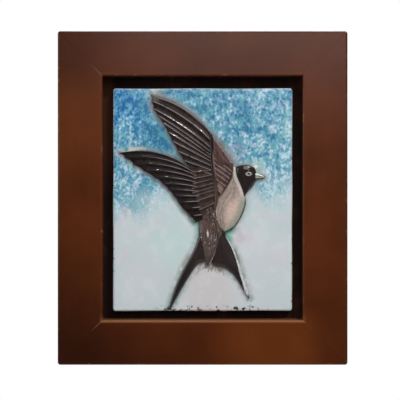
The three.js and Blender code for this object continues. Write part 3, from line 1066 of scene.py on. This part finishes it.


# %% [markdown]
# Beside the bird the brushes left a dark edge, then a pale halo, and green glaze has pooled in places
# under the belly and the tail. All of it fades with the distance from the bird, which the slab's vertices
# hold under the name shore. Painted shadows lie beside the shoulder, in the fork of the wings, below the
# near wing, right of the right streamer and under the beak, and painted shade darkens the halo round the
# raised wing. Painted highlights sit at the root of the beak and on the brow.

# %% Marks beside the bird
def beside_bird(sky, x, z, painted):
    """What the brushes and the running glaze left round the bird, and the painted shadows and highlights
    beside it.
    """
    shore = sky.stored("shore")[0]
    smudge = sky.noise(7, detail=3, seed=14)
    ragged = shore + sky.noise(4.5, seed=40) - 0.5
    bristles = sky.noise(1.8, stretch=(1, 1, 0.3), seed=33)
    at = lambda mark: around(x, z, *MARKS[mark])
    halo_and_shade = sky.coats(
        sky.mix(sky.noise(15, detail=1, seed=44).step(0.42, 0.58), "b3b0b4", "8fa19b"),
        # Painted shade darkens the halo high on the panel, round the raised wing.
        (z.step(25, 60) * x.step(-75, -55) * 0.75, "708c93"),
    )
    by_belly = (x - 34).step(0, 8) * (z + 36).step(0, 8) * z.step(12, 4)
    by_tail = (x - 22).step(0, 5) * (z + 38).step(2, -6)
    # The dark edge is left off at the brow, under the painted highlight there.
    outlined = 1 - (by_tail * 0.7).most(by_belly * 0.7).most(at("brow") * 0.9)
    green = at("foot of near wing").most(at("left of rump") * 0.4).most(at("foot of belly"))
    pooled = (green + smudge.step(0.5, 0.62) * z.step(-20, -40) * 0.4).held() * (1 - by_belly)
    below_web = abs(x - 9).step(20, 13) * (z + 69).step(0, -5)
    frayed = (shore + (bristles - 0.5) * 20).step(9, 3) * bristles.step(0.62, 0.42)
    # Pale glaze at the raised wing's corner and the near wing's tip, and a painted highlight at the root
    # of the beak.
    creamy_and_glint = at("root of beak").most(at("corner above raised tip") * 0.6)
    creamy_and_glint = creamy_and_glint.most(shore.step(5.5, 2.5) * at("near tip"))
    return sky.coats(
        painted,
        (shore.step(8, 1.5) * smudge.step(0.32, 0.52) * (1 - by_belly * 0.6) * 0.75, halo_and_shade),
        # Painted shadow beside the shoulder.
        (shore.step(9, 2) * at("shoulder") * smudge.step(0.3, 0.45) * 0.9, "727d79"),
        (at("above shoulder") * smudge.step(0.36, 0.54) * 0.65, "959aaa"),
        (shore.step(7, 1) * at("raised tip") * smudge.step(0.3, 0.5) * 0.75, "77767a"),
        # Painted shadow in the fork of the wings.
        (shore.step(5, 1) * at("fork of the wings") * 0.75, "5d5f5b"),
        (at("above raised tip") * 0.6, "8a8782"),
        # Painted shadow below the near wing.
        (shore.step(5.5, 0.5) * at("below near wing") * smudge.step(0.25, 0.45) * 0.75, "66626a"),
        (shore.step(8, 1) * pooled * 0.65, "68a095"),
        (shore.step(8, 1) * at("root of right streamer") * 0.75, "5a9f8d"),
        # Painted shadow right of the right streamer.
        (shore.step(4.5, 0.5) * at("right of right streamer") * 0.7, "5a6462"),
        (ragged.step(2.8, 0.4) * outlined * 0.45, "6b6462"),
        (ragged.step(1.1, 0.2) * outlined * 0.8, "2e2725"),
        # Painted shadow under the beak.
        (shore.step(2.8, 0.8) * at("under beak") * 0.8, "2b262b"),
        (abs(x - 12).step(24, 10) * below_web * shore.step(7, 1) * 0.7, "85776f"),
        (below_web * frayed * 0.75, "6b5a54"),
        (at("inside left streamer") * shore.step(8, 2) * smudge.step(0.35, 0.5) * 0.6, "8b8380"),
        (at("above beak") * 0.6, "a5b8ac"),
        # Pale glaze, with a painted highlight at the root of the beak.
        (creamy_and_glint * smudge.step(0.3, 0.5) * 0.8, "c4c7bb"),
        # A painted highlight on the brow.
        (at("glint on the brow") * 0.85, "dfe4de"),
    )


# %% The whole face
def sky_glaze():
    """The pale ground, the sponged blue, the marks beside the bird and the worn rim."""
    sky = Finish("sky_glaze")
    x, y, z = sky.axes()
    speckle = sky.noise(2.1, rough=0.6)
    mottle = sky.noise(14, detail=3, seed=70)
    drifts = sky.noise(38, seed=2)
    tint = sky.noise(55, detail=1, seed=19)
    pinks = sky.noise(16, seed=90)
    flecks = sky.noise(5.2, detail=3, rough=0.7, seed=52)
    rim = sky.stored("rim")[0]
    below_tail = (z + 62).step(14, -12) * abs(x - 8).step(46, 10)
    green = (z + 30).step(-60, 40) * (z - 40).step(40, -20) * drifts.step(0.35, 0.65)
    pink = pinks.step(0.54, 0.68) * (z + 30).step(45, 10) * (z + 30).step(-75, -40)
    ground = sky.coats(
        sky.mix(tint.step(0.35, 0.7), "bdc7ca", "c3c9cd"),
        (below_tail * 0.75, "c6bec0"),
        (green * 0.5, "aec8c7"),
        (pink * 0.4, "cdbfc6"),
        (around(x * 1.5, z, 63, -46, 15) * pinks.step(0.38, 0.54) * 0.5, "c2a5b0"),
        (around(x, z, -32, -52, 45) * 0.45, "add0cb"),
        (mottle.step(0.5, 0.7) * 0.4, "cfd3d6"),
    )
    bare = (rim + (speckle - 0.5) * 2.6).step(1.3, 0.6)
    at_foot = (z + TILE_HEIGHT / 2 / MM).step(6, 2) * abs(x - 10).step(70, 45)
    painted = sky.coats(
        beside_bird(sky, x, z, dabbed_sky(sky, x, z, ground)),
        (bare * 0.6, "cfd3d2"),
        (at_foot * flecks.step(0.54, 0.6), "22302e"),
        (rim.step(2.2, 1) * flecks.step(0.6, 0.66) * 0.8, "33504f"),
    )
    return sky.done(painted, speckle * 0.6 + drifts * 0.4, speckle * 0.15 + 0.16, strength=0.35)


# %% [markdown]
# ### Feather glazes
# A dark wash was brushed over the feathers and wiped back, so it stays dull in the hollows, and
# the crests show pale and glossy. The vertices hold their distance to the nearest crest in
# millimetres, which keeps the wiped line as wide at the root of a feather as at its tip.

# %% Feather glaze
def feather_glaze(
    name, hollow, brown, crest, strength, fine=0.15, wide=0.7, fade=(1.2, 1.6), first=0, wear_and_glint=""
):
    """Dark feathers with pale crests, which fade out along the feathers and before the first one.

    Wear goes at the front edge or at the end of the fan; on the tips of its last feathers the pale marks
    are a painted highlight.
    """
    glaze = Finish(name, Specular_IOR_Level=0.08, Coat_Roughness=0.08)
    across, along, from_crest = glaze.stored("across", "along", "from_crest")
    mottle = glaze.noise(5, detail=3)
    speck = glaze.noise(1.6, seed=4)
    wiped = (from_crest + (speck - 0.5) * 0.6).step(wide, fine) * mottle.step(0.25, 0.42) * strength
    wiped = wiped * across.step(*reversed(fade))
    worn_and_glints = []
    if first:
        wiped = wiped * along.step(first * 0.5, first)
    if wear_and_glint == "front":
        ends = across.step(0.1, 0.35) * across.step(0.98, 0.88)
        leading = abs(from_crest - 1.6).step(1, 0.3) * along.step(0.05, 0.045) * ends
        wiped = wiped.most(leading * strength * 0.8)
        worn_and_glints.append((across.step(0.86, 1) * along.step(0.13, 0.03) * 0.7, "74746c"))
    if wear_and_glint == "end":
        worn_and_glints.append(((along + (mottle - 0.5) * 0.25).step(0.74, 0.96) * 0.75, "8a786f"))
    if wear_and_glint == "tips":
        # Painted highlight: pale marks on the tips of the lowest feathers.
        lowest = (across * 0.6 + along * 0.4).step(0.9, 0.96)
        worn_and_glints.append((lowest * across.step(0.8, 0.9) * speck.step(0.44, 0.56) * 0.8, "b4b7b6"))
    colour = glaze.coats(glaze.mix(mottle.step(0.35, 0.7), hollow, brown), (wiped, crest), *worn_and_glints)
    gloss = from_crest.step(1.4, 0.5) * speck.step(0.45, 0.58) * 0.8
    height = speck * 0.4 + mottle * 0.6
    return glaze.done(colour, height, speck * 0.15 + 0.25, gloss, depth=0.2, strength=0.3)


# %% [markdown]
# ### Brushed glazes
# The other parts were brushed lengthwise, so the streaks of their glaze follow the places that
# are stored along and across each part, and bend with it.

# %% Plain bird glazes
def brush_strokes(glaze, lines, size=2.2):
    """Streaks that run lengthwise on a part, and follow its stored places."""
    across, along = glaze.stored("across", "along")
    lengthwise = glaze.node("CombineXYZ", inputs={0: across * lines, 1: along * 1.6})
    texture = {"Vector": lengthwise, "Scale": size, "Detail": 4, "Roughness": 0.65}
    return glaze.node("TexNoise", inputs=texture)


def streaked_glaze(name, base, streak, amount, dull=0.14, bumps=0.4):
    """A plain glaze with some streaks and cloudy patches of a second colour."""
    glaze = Finish(name)
    strokes = brush_strokes(glaze, 7)
    mottle = glaze.noise(4, detail=3)
    colour = glaze.coats(
        glaze.mix(strokes.step(0.45, 0.62) * amount, base, streak),
        (mottle.step(0.5, 0.75) * 0.25, streak),
    )
    return glaze.done(colour, strokes * 0.6 + mottle * 0.4, mottle * 0.15 + dull, strength=bumps)


# %% Belly and rump glazes
def belly_glaze():
    """Pink clay under a thin glaze, greyer on the left, with a dark green edge low on the right."""
    glaze = Finish("belly_glaze")
    across, along, from_left, from_right = glaze.stored("across", "along", "from_left", "from_right")
    strokes = brush_strokes(glaze, 9)
    mottle = glaze.noise(4, detail=3)
    low = along.step(0.32, 0.48)
    ridge = abs(across - 0.6).step(0.26, 0.06) * along.step(0.4, 0.55)
    collar = from_right.step(7, 4) * along.step(0.5, 0.4)
    feathered = (from_left + (strokes - 0.5) * 14).step(3.5, 1.5)
    feathered = feathered * along.step(0.62, 0.5) * along.step(0.1, 0.2)
    colour = glaze.coats(
        glaze.mix(from_left.step(6, 24), "95857b", "bfa79d"),
        (ridge * 0.35, "cfb1a6"),
        (strokes.step(0.46, 0.6) * from_left.step(26, 5) * 0.8, "655850"),
        (mottle.step(0.5, 0.7) * 0.3, "c2aea5"),
        (along.step(0.2, 0.02) * 0.6, "cfc8c4"),
        (collar * 0.6, "cfc7c2"),
        (feathered * 0.8, "56443e"),
        (from_left.step(2.4, 1) * along.step(0.8, 0.92) * 0.7, "d8c4bf"),
        (from_right.step(12, 4) * low * 0.8, "8b9284"),
        ((from_right + (mottle - 0.5) * 1.2).step(2.2, 1) * low * 0.9, "2f3a34"),
    )
    return glaze.done(colour, strokes * 0.5 + mottle * 0.5, mottle * 0.15 + 0.2)


def rump_glaze():
    """Brown brushed over pale clay with a nearly dry brush, and one painted highlight."""
    glaze = Finish("rump_glaze")
    across, along, from_right = glaze.stored("across", "along", "from_right")
    strokes = brush_strokes(glaze, 12)
    fibres = brush_strokes(glaze, 26, size=3)
    speck = glaze.noise(2.4, detail=3, rough=0.6, seed=8)
    dry = (speck * 0.6 + fibres * 0.4).step(0.56, 0.62) * along.step(0.75, 0.55)
    wiped_side = from_right.step(2.2, 0.9) * along.step(0.4, 0.55) * speck.step(0.35, 0.45)
    reddish = around(across, along, 0.36, 0.3, 0.3) * speck.step(0.45, 0.56)
    # A painted highlight: one pale spot on the rump.
    glint_spot = abs(across - 0.36 + (speck - 0.5) * 0.2) * 18 + abs(along - 0.42) * 11
    colour = glaze.coats(
        glaze.mix(strokes.step(0.42, 0.6), "302420", "544540"),
        (fibres.step(0.52, 0.64) * along.step(-0.1, 0.5) * 0.75, "93847e"),
        (dry * 0.75, "c2b7b2"),
        (wiped_side * 0.8, "b3a49b"),
        (reddish * 0.6, "6b3c40"),
        (glint_spot.step(1, 0.6) * 0.9, "d6d2cd"),
    )
    height = strokes * 0.4 + speck * 0.6
    return glaze.done(colour, height, speck * 0.15 + 0.15, depth=0.35, strength=0.5)


# %% Arm and shoulder glazes
def arm_glaze():
    """Almost black on the left, with a paler streak down the right side where it was wiped."""
    glaze = Finish("arm_glaze", Specular_IOR_Level=0.3)
    along, from_right = glaze.stored("along", "from_right")
    strokes = brush_strokes(glaze, 5)
    wiped = (from_right + (strokes - 0.5) * 2).step(3, 1.4)
    wiped = wiped * along.step(0.22, 0.34) * along.step(0.64, 0.5)
    colour = glaze.coats(
        glaze.mix(strokes.step(0.45, 0.62) * 0.4, "1e1514", "382a27"),
        (wiped * 0.8, "75625d"),
        (along.step(0.5, 0.7) * 0.85, "4c3d37"),
    )
    return glaze.done(colour, strokes, strokes * 0.15 + 0.12)


def shoulder_glaze():
    """Reddish brown, rubbed to a pale pink along the outer edge."""
    glaze = Finish("shoulder_glaze", Specular_IOR_Level=0.3)
    from_left, from_right = glaze.stored("from_left", "from_right")
    strokes = brush_strokes(glaze, 5)
    speck = glaze.noise(1.8, detail=3, rough=0.6, seed=12)
    colour = glaze.coats(
        glaze.mix(strokes.step(0.42, 0.6) * 0.4, "432d2b", "6a514e"),
        (from_left.step(5, 2) * 0.6, "5f4a47"),
        ((from_right + (speck - 0.5) * 5).step(3.4, 1.2) * 0.75, "8f7d7a"),
    )
    return glaze.done(colour, strokes * 0.5 + speck * 0.5, speck * 0.15 + 0.12)


# %% Beak and tail glazes
def beak_glaze():
    """A pale beak with a dark line where it opens."""
    glaze = Finish("beak_glaze", Roughness=0.2)
    across, along = glaze.stored("across", "along")
    opening = abs(across - BEAK_OPENS).step(0.12, 0.05) * along.step(0.95, 0.8)
    colour = glaze.coats(
        glaze.mix(across.step(0.1, 0.5), "ced3c4", "8d978c"),
        (across.step(0.62, 0.7), "c3b8a8"),
        (opening * 0.85, "33322f"),
        (across.step(0.88, 1) * 0.8, "4a443f"),
    )
    return glaze.done(colour, glaze.noise(3), depth=0.2, strength=0.3)


def streamer_glaze(name, white_edge):
    """The dark tail, with a pale strip along one outer edge."""
    glaze = Finish(name)
    along, from_right = glaze.stored("along", "from_right")
    strokes = brush_strokes(glaze, 8)
    speck = glaze.noise(2, seed=6)
    colour = glaze.coats(
        glaze.mix(strokes.step(0.45, 0.65) * 0.4, "251b19", "3d312d"),
        (along.step(0.3, 0.6) * 0.7, "171617"),
    )
    if white_edge:
        strip = (from_right / (along * 1.8 + 0.55) + (speck - 0.5) * 1.4).step(1.9, 1.1)
        strip = strip * along.step(0.98, 0.9) * along.step(0.02, 0.12)
        white = glaze.mix(speck.step(0.35, 0.6), "a4a8a6", "d9dcda")
        colour = glaze.mix(strip * 0.9, colour, white)
    return glaze.done(colour, strokes * 0.6 + speck * 0.4, speck * 0.15 + 0.15)


# %% One glaze for each part
fine_lines = dict(fine=0.1, wide=0.6)
glazes = {
    "raised_wing": feather_glaze(
        "raised_wing_glaze", "1e1615", "2e2423", "9b8e8e", 0.72, wear_and_glint="front", **fine_lines
    ),
    "near_wing": feather_glaze(
        "near_wing_glaze", "161010", "241b1a", "948787", 0.8, fade=(0.35, 0.8), wear_and_glint="tips"
    ),
    "raised_coverts": feather_glaze(
        "raised_coverts_glaze", "402d2b", "58443f", "9b8783", 0.7, first=0.3, wear_and_glint="end", **fine_lines
    ),
    "near_coverts": feather_glaze("near_coverts_glaze", "2b211e", "3a2e2a", "7a6a66", 0.6, first=0.12),
    "shoulder": shoulder_glaze(),
    "arm": arm_glaze(),
    "belly": belly_glaze(),
    "rump": rump_glaze(),
    "left_streamer": streamer_glaze("left_streamer_glaze", white_edge=False),
    "right_streamer": streamer_glaze("right_streamer_glaze", white_edge=True),
    "head": streaked_glaze("head_glaze", "241b1b", "30272a", 0.3, dull=0.02, bumps=0.12),
    "beak": beak_glaze(),
    "eye_rim": streaked_glaze("eye_rim_glaze", "8f908a", "6c6b66", 0.5),
    "eye_bead": streaked_glaze("eye_bead_glaze", "1a1615", "2c2725", 0.3),
}

# %% [markdown]
# ## Put together
# The slab and the bird were fired as one piece, so they are joined into one object. Every rail
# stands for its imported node, and everything belongs to the one body, because nothing moves.

# %% Join the tile
dress(slab, sky_glaze())
for name, (sheet, _) in shapes.items():
    dress(sheet, glazes[name])
only_select(slab)
for sheet, _ in shapes.values():
    sheet.select_set(True)
bpy.ops.object.join()
bpy.ops.object.shade_smooth_by_angle(angle=np.radians(50))
print("tile:", sum(len(face.vertices) - 2 for face in slab.data.polygons), "triangles")

# %% Hand the pieces over
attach(slab, "root")
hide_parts("relief_tile")
for side, rail in rails.items():
    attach(rail, "root")
    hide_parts("frame_rail_" + side)
